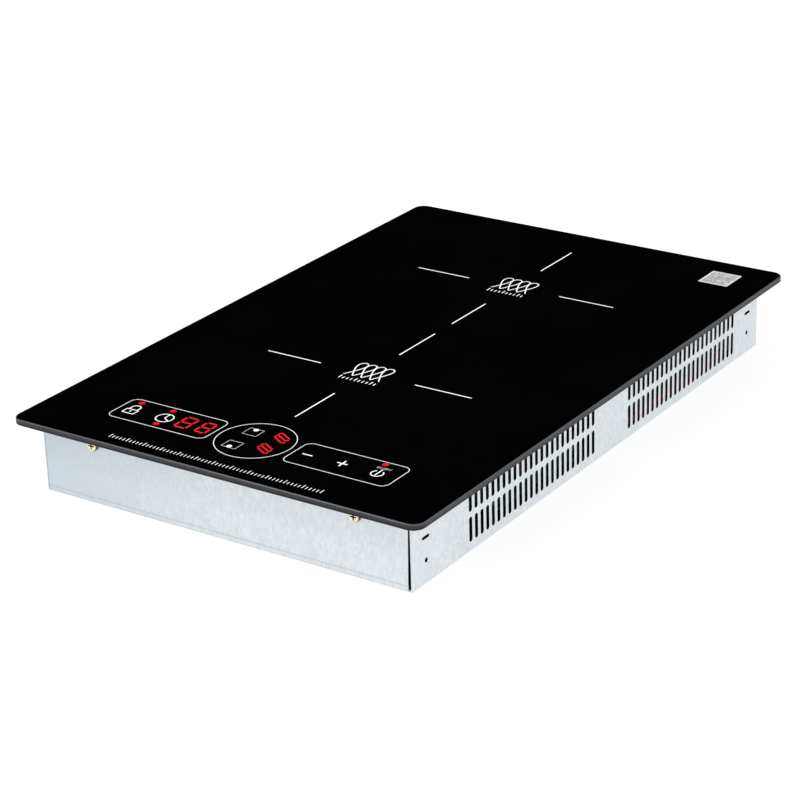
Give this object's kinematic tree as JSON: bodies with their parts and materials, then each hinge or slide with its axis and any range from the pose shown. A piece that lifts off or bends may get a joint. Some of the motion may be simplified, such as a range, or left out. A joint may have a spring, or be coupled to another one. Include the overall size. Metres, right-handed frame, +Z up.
{
  "type": "induction cooktop",
  "caption": "Narrow built-in induction cooktop: black glass plate with touch controls over a vented galvanised tray that holds coils, power boards and fans.",
  "frame": {"origin": "centre of the tray's resting face, on the plan centre of the glass", "axes": "+Z up through the glass, +Y to the rear, +X to the right as the user sees it"},
  "size_m": [0.3, 0.457, 0.0512],
  "materials": {
    "black_glass": "polished black glass ceramic with a ground edge",
    "galvanised_steel": "bright galvanised sheet with fine spangle",
    "black_silicone": "matt silicone rubber",
    "yellow_zinc": "yellow passivated zinc plating",
    "zinc_steel": "bright zinc plating",
    "nickel_brass": "plain turned brass",
    "white_moulding": "glass-filled moulding, matt",
    "litz_copper": "enamelled copper strands",
    "mica": "pressed mica paper",
    "ferrite": "sintered ferrite, matt",
    "circuit_board": "solder-masked board",
    "heatsink_aluminium": "extruded, plain",
    "black_epoxy": "moulded epoxy",
    "capacitor_case": "plastic case",
    "wound_choke": "enamelled wire over a coated core",
    "black_moulding": "moulded, fine texture",
    "stator_copper": "wound stator",
    "power_lead": "silicone insulation",
    "signal_lead": "PVC sleeve",
    "earth_insulation": "green and yellow insulation",
    "terminal_moulding": "moulded terminal block",
    "fuse_ceramic": "ceramic tube with metal caps",
    "touch_foam": "conductive foam",
    "display_module": "tinted display face",
    "red_light": "red light guide"
  },
  "bodies": {
    "cooktop": {"board_screws": "zinc_steel", "board_spacers": "nickel_brass", "buzzer": "black_epoxy", "cable_gland": "black_moulding", "carrier_posts": "white_moulding", "carrier_springs": "zinc_steel", "control_board": "circuit_board", "control_bracket": "black_moulding", "control_harness": "signal_lead", "cover_screws": "yellow_zinc", "earth_lead": "earth_insulation", "earth_screw": "zinc_steel", "fan_leads": "signal_lead", "fan_screws": "zinc_steel", "filter_board": "circuit_board", "filter_capacitor": "capacitor_case", "filter_choke": "wound_choke", "front_board_capacitors": "capacitor_case", "front_board_choke": "wound_choke", "front_coil_carrier": "white_moulding", "front_coil_insulator": "mica", "front_coil_leads": "power_lead", "front_coil_winding": "litz_copper", "front_fan_frame": "black_moulding", "front_fan_stator": "stator_copper", "front_ferrite_bars": "ferrite", "front_heatsink": "heatsink_aluminium", "front_pan_sensor": "black_silicone", "front_power_board": "circuit_board", "front_power_devices": "black_epoxy", "fuse": "fuse_ceramic", "gland_nut": "black_moulding", "glass_top": "black_glass", "housing_tray": "galvanised_steel", "indicator_lights": "red_light", "mains_leads": "power_lead", "rear_board_capacitors": "capacitor_case", "rear_board_choke": "wound_choke", "rear_coil_carrier": "white_moulding", "rear_coil_insulator": "mica", "rear_coil_leads": "power_lead", "rear_coil_winding": "litz_copper", "rear_fan_frame": "black_moulding", "rear_fan_stator": "stator_copper", "rear_ferrite_bars": "ferrite", "rear_heatsink": "heatsink_aluminium", "rear_pan_sensor": "black_silicone", "rear_power_board": "circuit_board", "rear_power_devices": "black_epoxy", "silicone_bead": "black_silicone", "supply_leads": "power_lead", "terminal_block": "terminal_moulding", "terminal_screws": "zinc_steel", "timer_display": "display_module", "top_frame": "galvanised_steel", "touch_pads": "touch_foam", "zone_displays": "display_module"},
    "front_impeller": {"front_fan_impeller": "black_moulding"},
    "rear_impeller": {"rear_fan_impeller": "black_moulding"}
  },
  "joints": [
    {"name": "front_fan_spin", "type": "hinge", "parent": "cooktop", "child": "front_impeller", "pos_m": [-0.088, -0.0614, 0.009], "axis": [0, 0, 1], "continuous": true},
    {"name": "rear_fan_spin", "type": "hinge", "parent": "cooktop", "child": "rear_impeller", "pos_m": [-0.088, 0.115, 0.009], "axis": [0, 0, 1], "continuous": true}
  ]
}
